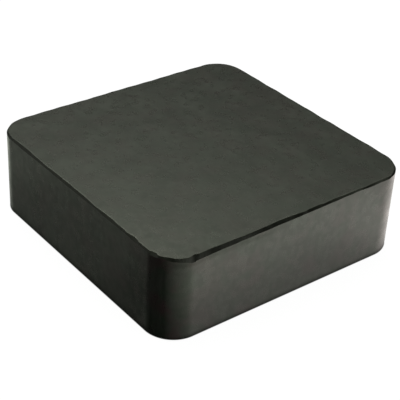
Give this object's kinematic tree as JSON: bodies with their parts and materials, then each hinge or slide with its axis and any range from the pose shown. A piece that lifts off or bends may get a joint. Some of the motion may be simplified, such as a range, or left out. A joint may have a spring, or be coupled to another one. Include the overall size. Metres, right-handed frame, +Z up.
{
  "type": "lift arm rubber pad",
  "caption": "Solid square rubber pad with rounded corners that sits on a vehicle lift's arm and carries the vehicle's jacking point.",
  "frame": {"origin": "middle of the flat bottom face, which lies on the lift arm's saddle", "axes": "+Z up, from the bottom face to the bearing face; +X and +Y square to the flat walls; the picture's front-right wall faces +X and its front-left wall faces -Y"},
  "size_m": [0.1, 0.1, 0.03],
  "materials": {
    "rubber": "black moulded solid rubber, satin, faintly mottled, with faint drawn streaks down the walls and a matter knife-cut band round the top edge"
  },
  "bodies": {
    "root": {"rubber_pad": "rubber"}
  },
  "joints": []
}
